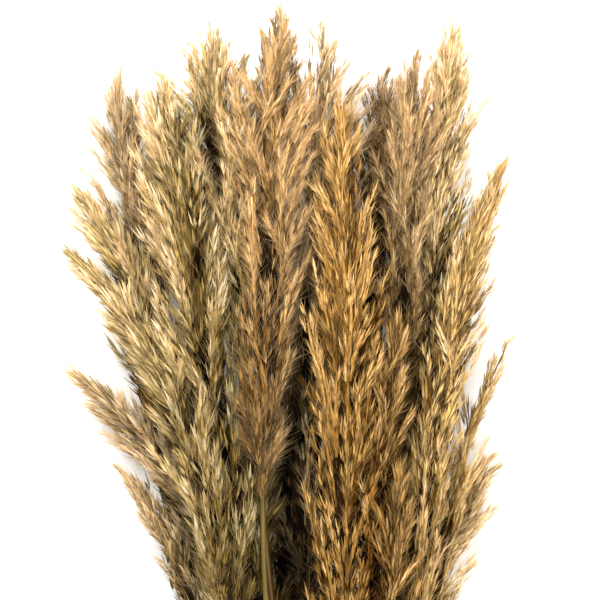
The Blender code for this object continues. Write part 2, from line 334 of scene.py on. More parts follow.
# Colours of a plume: deep inside it, of most husks, of the brightest ones, and of its hairs
colours = {
    "tan": ((98, 70, 32), (220, 178, 114), (234, 204, 150), (238, 214, 172)),
    "golden": ((96, 64, 18), (214, 170, 97), (232, 198, 138), (228, 194, 134)),
    "cream": ((80, 58, 14), (226, 198, 130), (255, 248, 218), (250, 234, 190)),
    "beige": ((104, 78, 38), (236, 208, 154), (255, 245, 218), (252, 238, 206)),
    "pale": ((104, 78, 30), (252, 228, 166), (255, 250, 222), (255, 242, 200)),
    "dusky": ((78, 58, 28), (208, 174, 120), (238, 212, 164), (236, 212, 170)),
    "umber": ((66, 46, 18), (182, 142, 80), (226, 192, 132), (212, 180, 128)),
    "gilt": ((92, 64, 18), (238, 202, 126), (254, 238, 196), (248, 228, 178)),
    "brown": ((52, 36, 14), (128, 98, 54), (168, 134, 80), (150, 122, 74)),
    "shadow": ((30, 20, 7), (84, 62, 32), (120, 94, 54), (108, 86, 50)),
}
ember = srgb(190, 112, 40)  # the thin orange-brown stalks inside a lock
stalkGreen = srgb(116, 100, 42)

# Makes of plume: length and width of a husk, husks and hairs in a cluster, thickness and length of
# a lock, and the share of the plume's reach that its middle, painted dark as shade, fills
makes = {
    "silky": (0.85, 0.85, 5, 9, 1.2, 1.3, 0.36),
    "crisp": (1.35, 1.5, 3, 7, 1, 1.1, 0.36),
    "plain": (1, 1, 4, 4, 1, 1.15, 0.33),
    "coarse": (1.4, 1.6, 3, 1, 1.25, 1, 0.75),
    "stringy": (1.15, 1.15, 4, 3, 0.9, 1.55, 0.33),
}

# Each plume: colours, make, locks, clusters of husks on each lock, girth, how much fuller its tip
# is, and the share of its length, from the foot, that is thinly set
plumes = {
    1: ("tan", "silky", 96, 17, 1.08, 0.16, 0),
    2: ("golden", "plain", 112, 15, 1, 0.14, 0),
    3: ("cream", "crisp", 108, 14, 1.08, 0.4, 0.2),
    4: ("cream", "crisp", 90, 14, 0.85, 0, 0.1),
    5: ("dusky", "silky", 80, 14, 1, 0.35, 0.3),
    6: ("gilt", "plain", 96, 14, 0.88, 0.15, 0.2),
    7: ("cream", "crisp", 84, 12, 1.2, 0.16, 0),
    8: ("beige", "silky", 92, 14, 1.1, 1, 0.25),
    9: ("pale", "silky", 112, 13, 1.05, 0.8, 0.4),
    10: ("cream", "crisp", 78, 13, 1.12, 0, 0.2),
    11: ("beige", "crisp", 66, 12, 1.05, 0.3, 0),
    12: ("beige", "plain", 40, 12, 0.92, -0.3, 0),
    13: ("pale", "plain", 96, 12, 0.9, 0.25, 0.3),
    14: ("gilt", "plain", 22, 9, 1, 0.16, 0),
    15: ("umber", "plain", 66, 12, 1.1, 0.16, 0),
    16: ("beige", "silky", 64, 13, 1.15, 0.4, 0.3),
    17: ("dusky", "silky", 66, 12, 1.15, 0.4, 0.4),
    18: ("shadow", "coarse", 64, 8, 1, 0.1, 0),
    19: ("umber", "coarse", 44, 8, 0.85, 0.1, 0),
    20: ("dusky", "coarse", 44, 8, 1.1, 0.1, 0),
    21: ("pale", "stringy", 58, 15, 0.94, 0, 0),
    22: ("brown", "coarse", 112, 8, 1.5, 0.5, 0),
    23: ("umber", "stringy", 46, 15, 0.84, -0.1, 0),
}

plume = {
    # Where locks stand and how long they are, as shares of the plume's length
    "lockEnds": (0.04, 1.0),
    "lockSpan": (0.27, 0.12),  # at the plume's foot, and at its tip
    "lockSpans": (0.7, 1.4),  # shortest and longest, as shares of that
    "lowestBegin": 0.10,  # of where the lock ends
    "evenness": 0.75,  # 0 sets locks only where the plume is wide
    "tipCrowding": 1.4,
    "thinlySet": (0.3, 8),  # how densely, and how sharply that part ends
    "turnScatter": 0.3,
    "slenderFoot": 0.30,  # where the plume gets as wide as its solid
    # How far out they end, as shares of the solid's reach
    "reach": (0.74, 1.02),
    "innerLocks": 0.28,  # share of them that ends inside the others
    "innerReach": (0.10, 0.75),
    "strayLocks": 0.12,  # share of them that stands out
    "strayReach": (1.02, 1.30),
    "leastReach": 0.85,  # sideways, of the mean reach, where other plumes press in
    "widestReach": {22: 1.5},  # the same, for the plume below the bare stem
    # The form of a lock
    "lockRadius": 0.0046,
    "slimmest": 0.15,  # at most this share of the plume's widest reach
    "lockFill": (0.36, 0.0018),  # and at most this share of its reach, and this much more
    "lockUnevenness": 0.35,
    "strayThickness": 0.85,
    "tuck": 0.2,  # share of its radius that stays inside its reach
    "lockBend": (0.0042, 0.06),  # and the length of a lock that bends so much
    "lockRise": (0.45, 1.05),  # 1 leaves the stalk at once, 0 only at the end
    # Tones: 0 is the plume's deep colour, 0.5 that of most husks and 1 the brightest
    "lockTone": (0.14, -0.22, -0.16),  # scatter, of inner locks, at the plume's foot; the last two darken as painted shade
    "clusterTone": (0.19, 0.32, 1.8, 0.30, 0.06),  # least, outside, its power, at the tip, scatter; darker deep inside and low on a lock: painted shade
    "huskTone": (0.18, 0.22, -0.08, 0.10),  # scatter, pale edge, dark edge, tip
    "huskFoot": 0.4,  # its light
    "hairLight": (0.35, 0.9, 0.25),  # at tone 0, what tone 1 adds, and the least
    "coreTone": (0.13, 0.24),  # at a lock's foot, and what its tip adds; dark, as painted shade inside the lock
    # Clusters of husks on the locks
    "clusterStart": 0.14,  # how far along the lock
    "clusterOut": (0.4, 1.0),  # share of the lock's radius
    "clusterAhead": 0.0015,
    "clusterLean": (0.05, 0.19),  # at the lock's tip, and what its foot adds
    "clusterScatter": 0.07,
    "clusterStalk": (0.0004, 0.002, 0.85),  # width, how far in it ends, light
    # Clusters round the plume's foot: how many, from where to where, from how near to how far; and
    # the same for the plume whose foot shows beside the bare stem
    "skirt": (30, -0.018, 0.022, 0.0014, 0.0022),
    "fullSkirt": {18: (260, -0.040, 0.034, 0.0014, 0.0130)},
    "skirtLean": (0.03, 0.20),
    "skirtTone": (0.24, 0.10),
    # Clusters over the plume's dark middle: from where to where, and how far over it
    "liningClusters": 56,
    "liningSpan": (0.12, 0.85),
    "liningOver": (0.85, 1.5),
    "liningLean": (-0.05, 0.20),
    "liningScatter": 0.1,
    # their tone, mean and scatter: dark, as painted shade
    "liningTone": (0.14, 0.12),
    # Husks and hairs
    "huskLength": 0.0112,
    "huskLengths": (0.65, 1.2),
    "huskWidth": 0.00125,
    "huskWidths": (0.65, 1.25),
    "huskStep": 0.0014,  # from one husk of a cluster to the next
    "huskOut": 0.0002,  # how far out from the cluster's line it starts
    "huskTurn": 2.2,
    "huskSplay": (0.04, 0.23),
    "huskBelly": (0.38, 0.3),  # where it is widest, and how far it bows, in widths
    "hairLength": 0.0145,
    "hairLengths": (0.7, 1.3),
    "hairWidth": 0.00026,
    "hairFoot": (0.001, 0.006),
    "hairSplay": (0.12, 0.85),
    "baldBelow": 0.14,  # clusters with less painted light than this grow no hairs
    # Tubes: radius at the foot and at the tip, or from and to along the line; then rows and sides
    "branch": (0.0004, 0.0001, 6, 3),
    "stalk": (0.0017, 0.0003, 40, 7),
    "stalkSpan": (-0.003, 0.97),  # from before the plume's foot to this share of its length
    "stalkShade": (1, -2, 0.45),  # light at its foot, what it falls to, and the least
    "core": (0.06, 0.95, 6, 4),  # the packed down inside each lock, toned dark as painted shade
    "coreRadius": (0.20, 0.48),  # shares of the lock's radius
    "heart": (0.08, 0.90, 20, 10),  # the plume's middle, painted dark as the shade below its locks
    "heartWidth": (0.25, 0.92, 0.35),  # where it is full, where it ends, over what length it narrows
    "heartUnevenness": (0.8, 1.1),
    "heartPaintedShade": (0.20, 0.75, 0.5, 0.35),  # painted shade: light below, at its tip, from where and over what length
    # Painted shade, from what stands over a place and in the hollows
    "shelterCell": 0.0048,
    "shelterLoad": 1.7,  # clusters overhead in a cell's width that leave a place 37% of its painted light
    "fullShadeLight": 0.18,  # how light painted shade leaves a fully sheltered husk
    "shadeBrowning": 1.25,  # how much browner painted shade makes a sheltered husk
    "hollowEdge": 0.012,  # the height over which a hollow ends
    "overFloor": 0.0003,  # what would sink into the floor lies so far over it
}

# Painted shade in the hollows between the plumes: x, y, half-width, half-length, height, and how
# much darker the middle is painted (below 0 it is painted lighter, as painted light)
shadedHollows = (
    (0.0064, 0.141, 0.01, 0.06, 0.088, 0.93),
    (0.001, 0.036, 0.019, 0.065, 0.072, 0.96),
    (-0.0615, 0.275, 0.009, 0.045, 0.11, 0.75),
    (-0.0575, 0.338, 0.011, 0.032, 0.11, 0.85),
    (0.0841, 0.182, 0.022, 0.05, 0.085, 0.65),
    (0.0631, 0.232, 0.01, 0.06, 0.095, 0.82),
    (0.06, 0.06, 0.01, 0.055, 0.11, 0.7),
    (-0.0391, 0.127, 0.022, 0.085, 0.2, 0.3),
    (-0.018, 0.183, 0.016, 0.06, 0.2, 0.28),
    (-0.0755, 0.142, 0.012, 0.016, 0.2, 0.55),
    (-0.0741, 0.337, 0.01, 0.018, 0.2, 0.5),
    (-0.0475, 0.176, 0.014, 0.03, 0.2, 0.25),
    (-0.046, 0.06, 0.014, 0.03, 0.2, 0.28),
    (-0.1035, 0.141, 0.014, 0.014, 0.2, -0.5),
    (0.119, 0.065, 0.024, 0.06, 0.2, -1.8),
    (-0.1245, 0.302, 0.03, 0.07, 0.2, -0.35),
    (-0.051, 0.382, 0.022, 0.03, 0.2, -0.35),
    (0.0085, 0.309, 0.011, 0.07, 0.2, -0.6),
    (0.089, 0.33, 0.03, 0.07, 0.2, -0.22),
    (-0.051, 0.029, 0.045, 0.06, 0.2, 0.36),
)


def plumeForm(node):
    # The line and the reach of a plume's solid. Its first ring is square to its line there, which
    # gives the slope; the line then bends as (share of the length) cubed to reach the tip.
    sides = 10
    points = solidPoints(node)
    foot, rest, tip = points[:sides], points[sides:-1], points[-1]
    start = foot.mean(0)
    offset = foot - start
    slope = np.linalg.lstsq(offset[:, [0, 2]], -offset[:, 1], rcond=None)[0]
    length = tip[1] - start[1]
    nod = tip[[0, 2]] - start[[0, 2]] - slope * length

    def line(s):
        s = np.asarray(s, float)[..., None]
        across = start[[0, 2]] + slope * s + nod * (s / length) ** 3
        return np.concatenate([across[..., :1], start[1] + s, across[..., 1:]], -1)

    def spokeAt(angle):
        # Which spoke an angle is at: the solid's spokes stand half a step on from X
        return (np.degrees(angle) / (360 / sides) - 0.5) % sides

    levels = np.unique(np.round(rest[:, 1], 4))
    reach = np.zeros((len(levels) + 2, sides))
    reach[0] = np.linalg.norm(offset, axis=1).mean()
    level = np.abs(rest[:, 1][:, None] - levels).argmin(1) + 1
    spoke = (rest - line(rest[:, 1] - start[1]))[:, [0, 2]]
    column = np.round(spokeAt(np.arctan2(spoke[:, 1], spoke[:, 0]))).astype(int) % sides
    reach[level, column] = np.linalg.norm(spoke, axis=1)
    wide = np.maximum(reach, np.maximum(np.roll(reach, 1, 1), np.roll(reach, -1, 1)))
    along = np.maximum(reach[1:-1], np.maximum(reach[:-2], reach[2:]))
    reach[1:-1] = 0.5 * reach[1:-1] + 0.25 * wide[1:-1] + 0.25 * along
    stations = np.concatenate([[0], levels - start[1], [length]])

    def envelope(s, angle):
        # The reach at a place along the line and a direction, between the four nearest spokes
        row = np.interp(s, stations, np.arange(len(stations)))
        low = np.clip(row.astype(int), 0, len(stations) - 2)
        f = row - low
        turn = spokeAt(angle)
        left = turn.astype(int) % sides
        g = turn - np.floor(turn)
        right = (left + 1) % sides
        lower = reach[low, left] * (1 - g) + reach[low, right] * g
        upper = reach[low + 1, left] * (1 - g) + reach[low + 1, right] * g
        return lower * (1 - f) + upper * f

    return line, length, envelope


def towardsTip(place):
    # 0 up to just past the plume's middle, then rising evenly to about 1 at its tip
    return np.clip(place * 2.2 - 1.2, 0, 1)


class Locks:
    # The locks of one plume. Each leaves the plume's line at its foot and climbs to its reach.
    def __init__(self, node, count, thickness, stretch, girth, fullness, bare, pressed, random):
        self.count = count
        self.line, self.length, self.envelope = plumeForm(node)
        # Lock tips stand along the plume as often as it is wide there, each a golden angle on
        places = np.linspace(*plume["lockEnds"], 200)
        wide = self.meanReach(places)
        density, edge = plume["thinlySet"]
        crowded = 1 + plume["tipCrowding"] * towardsTip(places)
        crowded = crowded * np.clip((places - bare) * edge + density, density, 1)
        often = np.cumsum((wide + plume["evenness"] * wide.max()) * crowded)
        order = np.arange(count)
        self.end = np.interp((order + random.uniform(0, 1, count)) / count, often / often[-1], places)
        self.end[-1] = 1.0
        self.angle = goldenAngle * order + random.normal(0, plume["turnScatter"], count)
        longFoot, longTip = plume["lockSpan"]
        share = longFoot + (longTip - longFoot) * self.end
        share = share * stretch * random.uniform(*plume["lockSpans"], count)
        begin = np.maximum(self.end - share, self.end * plume["lowestBegin"])
        self.foot = begin * self.length
        self.span = (self.end - begin) * self.length - plume["huskLength"] * 0.5
        kind = random.uniform(0, 1, count)
        inner = kind < plume["innerLocks"]
        stray = kind > 1 - plume["strayLocks"]
        out = random.uniform(*plume["reach"], count)
        out = np.where(inner, random.uniform(*plume["innerReach"], count), out)
        out = np.where(stray, random.uniform(*plume["strayReach"], count), out)
        out = out + fullness * towardsTip(self.end)
        least = pressed * self.meanReach(self.end) * np.abs(np.cos(self.angle))
        reach = np.maximum(self.envelope(self.end * self.length, self.angle), least) * girth
        reach = reach * np.clip(self.end / plume["slenderFoot"], 0.05, 1) ** 0.5
        uneven = 1 + random.uniform(-1, 1, count) * plume["lockUnevenness"]
        most = min(plume["lockRadius"] * thickness, plume["slimmest"] * wide.max())
        fill, more = plume["lockFill"]
        thick = np.minimum(most, reach * fill + more) * uneven
        self.thick = np.where(stray, thick * plume["strayThickness"], thick)
        self.reach = np.maximum(reach * out - plume["tuck"] * thick, 0.0003)
        self.outward = acrossAt(self.angle)
        self.sideways = np.stack([-np.sin(self.angle), 0 * self.angle, np.cos(self.angle)], 1)
        bend, bentLength = plume["lockBend"]
        self.bend = random.normal(0, bend, count) * np.clip(self.span / bentLength, 0.3, 1.1)
        self.early = random.uniform(*plume["lockRise"], count)
        # Inner locks and those low on the plume are toned darker: painted shade
        scatter, innerShade, footShade = plume["lockTone"]
        self.tone = random.normal(0, scatter, count) + innerShade * inner + footShade * (1 - self.end)

    def meanReach(self, place):
        # How far the solid reaches, on average all round, at a share of the plume's length
        return self.envelope(place[:, None] * self.length, np.arange(10)[None] * math.pi / 5).mean(1)

    def stalkPoint(self, t):
        # Where the plume's own line is beside the place t of each lock
        return self.line(self.foot[:, None] + self.span[:, None] * t)

    def point(self, t):
        # stalk line + outward * reach * (e t + (1 - e) t^2) + sideways * bend * sin(pi t)
        early = self.early[:, None]
        away = self.reach[:, None] * (early * t + (1 - early) * t * t)
        side = self.bend[:, None] * np.sin(math.pi * t)
        path = self.stalkPoint(t) + self.outward[:, None] * away[..., None]
        return path + self.sideways[:, None] * side[..., None]

    def radius(self, t):
        # thick * t^0.5 * (1 - t)^0.55, scaled so that its greatest value is thick
        t = np.clip(t, 0, 1)
        return self.thick[:, None] * t ** 0.5 * (1 - t) ** 0.55 / 0.507

    def depth(self, t, place):
        # How far out in the plume a place is: 0 on its line, 1 at its solid's surface
        out = np.linalg.norm((place - self.stalkPoint(t))[..., [0, 2]], axis=-1)
        most = self.envelope(self.foot[:, None] + self.span[:, None] * t, self.angle[:, None] + 0 * t)
        return np.clip(out / np.maximum(most, 0.002), 0, 1)


def spikes(base, tip, flat, width, belly, bow):
    # Lance shapes, all at once: each is a point at its base, two at its belly and one at its tip.
    # The belly's points stand at base + belly * (tip - base) + bow * flat -/+ width / 2 * across.
    along = unit(tip - base)
    across = unit(np.cross(along, flat))
    middle = base + (tip - base) * belly + np.cross(across, along) * bow[:, None]
    half = across * width[:, None] / 2
    points = np.stack([base, middle - half, middle + half, tip], 1)
    return points, repeated([[0, 2, 1], [3, 1, 2], [0, 1, 3], [0, 3, 2]], len(base), 4)


def needles(base, tip, width):
    # Hairs and thin stalks, all at once: base + width / 2 * each of three spokes, closed, and the tip
    points = np.concatenate([base[:, None] + spokes(tip - base, 3) * width / 2, tip[:, None]], 1)
    return points, repeated([[0, 1, 2], [3, 1, 0], [3, 2, 1], [3, 0, 2]], len(base), 4)


def manyTubes(lines, radii, sides):
    # A tube round each of many lines: lines is line x row x 3, radii is line x row x side
    count, rows = lines.shape[:2]
    return profileTube(lines, radii, sides), repeated(tubeFaces(rows, sides), count, rows * sides)


def mixed(shades, tone):
    # A plume's colour for a tone: 0 is deep, 0.5 is common and 1 is bright
    deep, common, bright, _ = shades
    tone = np.clip(tone, 0, 1)[..., None]
    low = deep + (common - deep) * tone * 2
    high = common + (bright - common) * (tone * 2 - 1)
    return np.where(tone < 0.5, low, high)


def placeClusters(locks, each, random):
    # Clusters stand round each lock at its radius and lean out from it. Gives where each one's
    # stalk leaves the lock, where its husks start, the way they point, and its tone.
    shape = (locks.count, each)
    start = plume["clusterStart"]
    t = start + (1 - start) * (np.arange(each) + random.uniform(0, 1, shape)) / each
    spine = locks.point(t)
    ahead = unit(locks.point(t + 0.01) - spine)
    spin = np.arange(each) * goldenAngle + random.uniform(0, 2 * math.pi, (locks.count, 1))
    aside = splayed(ahead, spin)
    off = locks.radius(t) * random.uniform(*plume["clusterOut"], shape)
    heart = spine + aside * off[..., None] + ahead * plume["clusterAhead"]
    tipLean, footLean = plume["clusterLean"]
    lean = footLean * (1 - t) + tipLean
    aim = unit(ahead + aside * lean[..., None] + random.normal(0, plume["clusterScatter"], ahead.shape))
    # Clusters deep inside the plume and low on their lock are toned darker: painted shade
    least, outside, suddenly, atTip, scatter = plume["clusterTone"]
    tone = least + outside * locks.depth(t, heart) ** suddenly + atTip * t
    tone = tone + locks.tone[:, None] + random.normal(0, scatter, shape)
    return spine.reshape(-1, 3), heart.reshape(-1, 3), aim.reshape(-1, 3), tone.ravel()


def heartTaper(s):
    # The share of its width that the dark middle still has near its end: ((end - s) / over)^0.5
    _, end, over = plume["heartWidth"]
    return np.clip((end - s) / over, 0, 1) ** 0.5


def placeLining(locks, most, random):
    # Clusters low down between the locks, just over the plume's middle painted dark as shade, which is
    # most wide; they are toned dark too, as painted shade
    s = random.uniform(*plume["liningSpan"], plume["liningClusters"])
    angle = random.uniform(*anyTurn, len(s))
    out = acrossAt(angle)
    spine = locks.line(s * locks.length)
    ahead = unit(locks.line(s * locks.length + 0.001) - spine)
    share = most * random.uniform(*plume["liningOver"], len(s)) * heartTaper(s)
    heart = spine + out * (locks.envelope(s * locks.length, angle) * share)[:, None]
    lean = out * random.uniform(*plume["liningLean"], (len(s), 1))
    aim = unit(ahead + lean + random.normal(0, plume["liningScatter"], out.shape))
    return heart, heart, aim, random.normal(*plume["liningTone"], len(s))


def placeSkirt(locks, skirt, random):
    # A few clusters round the stalk where the locks begin and just below, over the stem's end
    count, low, high, nearest, farthest = skirt
    s = random.uniform(low, high, count)
    spine = locks.line(s)
    ahead = unit(locks.line(s + 0.001) - spine)
    aside = splayed(ahead, random.uniform(*anyTurn, count))
    heart = spine + aside * random.uniform(nearest, farthest, (count, 1))
    aim = unit(ahead + aside * random.uniform(*plume["skirtLean"], (count, 1)))
    return spine, heart, aim, random.normal(*plume["skirtTone"], count)


def growHusks(heart, aim, tone, each, size, shades, random):
    # Lance-shaped husks, one above the other in each cluster and each turned on from the last,
    # with one edge paler than the other and a dark foot
    of = np.repeat(np.arange(len(heart)), each)
    rank = np.tile(np.arange(each), len(heart))
    count = len(of)
    turn = rank * plume["huskTurn"] + np.repeat(random.uniform(*anyTurn, len(heart)), each)
    splay = splayed(aim[of], turn)
    base = heart[of] + aim[of] * (rank * plume["huskStep"])[:, None] + splay * plume["huskOut"]
    way = unit(aim[of] + splay * random.uniform(*plume["huskSplay"], (count, 1)))
    tip = base + way * plume["huskLength"] * size[0] * random.uniform(*plume["huskLengths"], (count, 1))
    width = plume["huskWidth"] * size[1] * random.uniform(*plume["huskWidths"], count)
    belly, bow = plume["huskBelly"]
    points, faces = spikes(base, tip, splay, width, belly, width * bow)
    scatter, paleEdge, darkEdge, atTip = plume["huskTone"]
    tone = tone[of] + random.normal(0, scatter, count)
    foot = shades[0] * plume["huskFoot"] + mixed(shades, tone) * plume["huskFoot"]
    edges = mixed(shades, tone + darkEdge), mixed(shades, tone + paleEdge)
    return points, faces, np.stack([foot, *edges, mixed(shades, tone + atTip)], 1)


def growHairs(heart, aim, tone, each, shades, random):
    # Silky hairs that spread from each cluster
    of = np.repeat(np.arange(len(heart)), each)
    count = len(of)
    splay = splayed(aim[of], random.uniform(*anyTurn, count))
    base = heart[of] + aim[of] * random.uniform(*plume["hairFoot"], (count, 1))
    way = unit(aim[of] + splay * random.uniform(*plume["hairSplay"], (count, 1)))
    tip = base + way * plume["hairLength"] * random.uniform(*plume["hairLengths"], (count, 1))
    points, faces = needles(base, tip, plume["hairWidth"])
    dim, brighter, least = plume["hairLight"]
    tint = shades[3] * np.clip(dim + brighter * tone[of], least, 1)[:, None]
    return points, faces, np.repeat(tint[:, None], 4, 1)


def growStalks(locks, spine, heart, aim):
    # A short stalk under every third cluster, a thin branch through each lock, and the plume's stalk
    width, inside, light = plume["clusterStalk"]
    points, faces = needles(spine[::3], (heart + aim * inside)[::3], width)
    yield points, faces, np.broadcast_to(ember * light, points.shape)
    thick, thin, rows, sides = plume["branch"]
    t = np.linspace(0, 1, rows)[None]
    points, faces = manyTubes(locks.point(t), (thick - (thick - thin) * t)[..., None], sides)
    yield points, faces, np.broadcast_to(ember, points.shape)
    thick, thin, rows, sides = plume["stalk"]
    start, end = plume["stalkSpan"]
    line = locks.line(np.linspace(start, locks.length * end, rows))
    points = profileTube(line, np.linspace(thick, thin, rows)[:, None], sides)
    light, dark, least = plume["stalkShade"]
    shade = np.clip(np.linspace(light, dark, rows), least, 1)[:, None, None]
    yield points, tubeFaces(rows, sides), stalkGreen * shade + 0 * points


def growCores(locks, shades, random):
    # The packed down inside each lock: an uneven tube of a share of the lock's radius, toned dark as
    # painted shade between the husks
    start, end, rows, sides = plume["core"]
    t = np.linspace(start, end, rows)[None]
    share = random.uniform(*plume["coreRadius"], (locks.count, rows, sides))
    points, faces = manyTubes(locks.point(t), locks.radius(t)[..., None] * share, sides)
    # The cores are toned dark: painted shade inside the lock
    atFoot, tipAdds = plume["coreTone"]
    tone = atFoot + tipAdds * t[..., None] + locks.tone[:, None, None] + 0 * share
    return points, faces, mixed(shades, tone)


def growShadedHeart(locks, most, shades, random):
    # The packed middle of the plume, below its locks, painted dark as their shade and lighter towards
    # the tip: point(s, a) = line(s) + reach(s, a) * share * out(a), where the share falls to nothing
    # towards the foot and the tip
    start, end, rows, sides = plume["heart"]
    s = np.linspace(start, end, rows)
    angle = np.arange(sides) * 2 * math.pi / sides
    share = most * np.minimum(1, s / plume["heartWidth"][0]) * heartTaper(s)
    reach = locks.envelope(s[:, None] * locks.length, angle[None] + 0 * s[:, None])
    reach = reach * share[:, None] * random.uniform(*plume["heartUnevenness"], reach.shape)
    points = locks.line(s * locks.length)[:, None] + acrossAt(angle)[None] * reach[..., None]
    # Painted shade: the middle is dark below and lighter towards the tip
    deep, atTip, begin, over = plume["heartPaintedShade"]
    light = np.clip((s - begin) / over, 0, 1)[:, None, None]
    tint = shades[0] * deep * (1 - light) + shades[1] * atTip * light + 0 * points
    return points, tubeFaces(rows, sides)[:, ::-1], tint


class Shelter:
    # Painted shade from what stands over each cell of the bunch. From the top layer to the bottom,
    # load = what is in the layer above + its load, both spread twice over the cells beside it.
    def __init__(self, places):
        cell = plume["shelterCell"]
        self.low = places.min(0) - 3 * cell
        index = ((places - self.low) / cell).astype(int)
        filled = np.zeros(index.max(0) + 6)
        np.add.at(filled, tuple(index.T), 1.0)
        self.load = np.zeros(filled.shape)
        for layer in range(filled.shape[2] - 2, -1, -1):
            above = self.load[:, :, layer + 1] + filled[:, :, layer + 1]
            for axis in (0, 1, 0, 1):
                above = (np.roll(above, 1, axis) + 2 * above + np.roll(above, -1, axis)) / 4
            self.load[:, :, layer] = above

    def paintedLightAt(self, points, random):
        # How much light is painted on a place, for what stands over it: exp(-load / shelterLoad)
        index = (points - self.low) / plume["shelterCell"] + random.uniform(-0.5, 0.5, points.shape)
        index = np.clip(index.astype(int), 0, np.array(self.load.shape) - 1)
        return np.exp(-self.load[tuple(index.T)] / plume["shelterLoad"])

    def paintShade(self, tint, points, random):
        # A tint with shade painted into it: light = (light of full shade) + (1 - that) * painted light
        # from what stands over, lowered in the hollows by darkness * exp(-(dx / a)^2 - (dy / b)^2). Where
        # less light is painted the tint is darker and browner: tint ^ (1 + browning * (1 - light)) * light
        light = plume["fullShadeLight"] + (1 - plume["fullShadeLight"]) * self.paintedLightAt(points, random)
        x, y, z = points.T
        # Painted shade in the hollows, and painted light where darkness is below 0
        for middleX, middleY, halfWidth, halfLength, top, darkness in shadedHollows:
            near = np.exp(-((x - middleX) / halfWidth) ** 2 - ((y - middleY) / halfLength) ** 2)
            light = light * (1 - darkness * near * np.clip((top - z) / plume["hollowEdge"], 0, 1))
        light = np.minimum(light, 1)[:, None]
        return tint ** (1 + plume["shadeBrowning"] * (1 - light)) * light


class Plume:
    # One plume's locks and the places of its husk clusters
    def __init__(self, number):
        colour, make, count, each, girth, fullness, bare = plumes[number]
        self.node = f"plume_{number:02d}"
        self.shades = [srgb(*shade) for shade in colours[colour]]
        *self.huskSize, self.husksEach, self.hairsEach, thickness, stretch, self.dark = makes[make]
        self.random = np.random.default_rng(100 + number)
        pressed = plume["widestReach"].get(number, plume["leastReach"])
        form = (count, thickness, stretch, girth, fullness, bare, pressed)
        self.locks = Locks(self.node, *form, self.random)
        other = np.random.default_rng(500 + number)
        skirt = plume["fullSkirt"].get(number, plume["skirt"])
        groups = [placeClusters(self.locks, each, self.random), placeSkirt(self.locks, skirt, other)]
        groups.append(placeLining(self.locks, self.dark, other))
        self.clusters = [np.concatenate(parts) for parts in zip(*groups)]

    def grow(self, shelter):
        # The plume's points and faces, each face's finish (husk, silk or packed down) and the points'
        # tints, with painted shade in them
        spine, heart, aim, tone = self.clusters
        locks, shades, random = self.locks, self.shades, self.random
        shapes = [growHusks(heart, aim, tone, self.husksEach, self.huskSize, shades, random)]
        shapes += growStalks(locks, spine, heart, aim)
        shapes += [growCores(locks, shades, random), growShadedHeart(locks, self.dark, shades, random)]
        hairy = shelter.paintedLightAt(heart, random) > plume["baldBelow"]
        hairy[-plume["liningClusters"]:] = False
        shapes.append(growHairs(heart[hairy], aim[hairy], tone[hairy], self.hairsEach, shades, random))
        points, faces, tints, counts = joined(shapes)
        points[:, 2] = np.maximum(points[:, 2], plume["overFloor"])
        kinds = np.repeat([0, 0, 0, 0, 2, 2, 1], counts)
        # The tints get painted shade from what stands over each point and in the hollows
        return points, faces, kinds, shelter.paintShade(tints, points, random)


started = [Plume(number) for number in plumes]
shelter = Shelter(np.concatenate([one.clusters[1] for one in started]))
total = 0
for one in started:
    points, faces, kinds, tint = one.grow(shelter)
    piece = meshPiece(f"reed_{one.node}", points, faces, [husk, silk, shadedDown], kinds, tint)
    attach(piece, "root")
    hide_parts(one.node)
    total += len(faces)
print("plumes made")


stem = {
    "sides": 12,
    "step": 0.011,  # between cross-sections
    "cutEdge": (0.0008, 0.002, 0.94),  # its height, the next cross-section, and how it narrows
    "ringGap": 0.0011,  # between two rings of the solid, at least
    "swollenBy": 1.08,  # rings that are so much thicker than their neighbours are joints
    "besideJoint": 0.004,  # rings this near a joint only shape the joint
    "ringSpan": 0.0045,  # how far a joint's swelling reaches each way
    "ringSwell": 1.26,
    "ringShape": (0.8, 2.2, 0.25),  # its power, the turn of its cosine and the least of that
    "ringBand": (1.3, 2.4),  # the brown band at a joint: strength at its middle, and its fall
    "bandStrength": (0.2, 0.8),
    "taper": 0.19,  # how much thinner a straw is at its plume than its solid
    "bore": 0.62,  # the hollow's share of the radius, seen at the cut end
    "boreRadii": (0.02, 0.8, 0.97, 1.0),  # shares of the bore, from its bottom out
    "boreDepth": 0.012,
    "boreDepths": (1.02, 1.0, 0.4, 0.02),
    "ripeness": (0.2, 1.0),  # 0 is green and 1 is tan; the first stem is green
    "lightness": (0.8, 1.08),
    "green": srgb(122, 106, 46),
    "tan": srgb(158, 126, 66),
    "ring": srgb(104, 74, 36),
    "pith": srgb(222, 200, 150),
    # the hollow's bottom, painted dark as shade
    "dark": srgb(70, 48, 24),
}


def stemLine(node):
    # Centres and radii of the rings of a stem's solid, from its cut end to its plume
    points = solidPoints(node)
    rings = np.split(points, np.flatnonzero(np.diff(points[:, 1]) > stem["ringGap"]) + 1)
    centres = np.array([ring.mean(0) for ring in rings])
    radii = np.array([np.linalg.norm(ring - ring.mean(0), axis=1).max() for ring in rings])
    return centres, radii


def smoothThrough(points, at):
    # A curve through the points (Catmull-Rom): each stretch is a cubic whose slope at a point is
    # the slope between that point's two neighbours
    slopes = np.gradient(points, points[:, 1], axis=0)
    k = np.clip(np.searchsorted(points[:, 1], at) - 1, 0, len(points) - 2)
    width = (points[k + 1, 1] - points[k, 1])[:, None]
    t = (at[:, None] - points[k, 1][:, None]) / width
    return (
        points[k] * (1 + 2 * t) * (1 - t) ** 2
        + points[k + 1] * t * t * (3 - 2 * t)
        + slopes[k] * width * t * (1 - t) ** 2
        + slopes[k + 1] * width * t * t * (t - 1)
    )


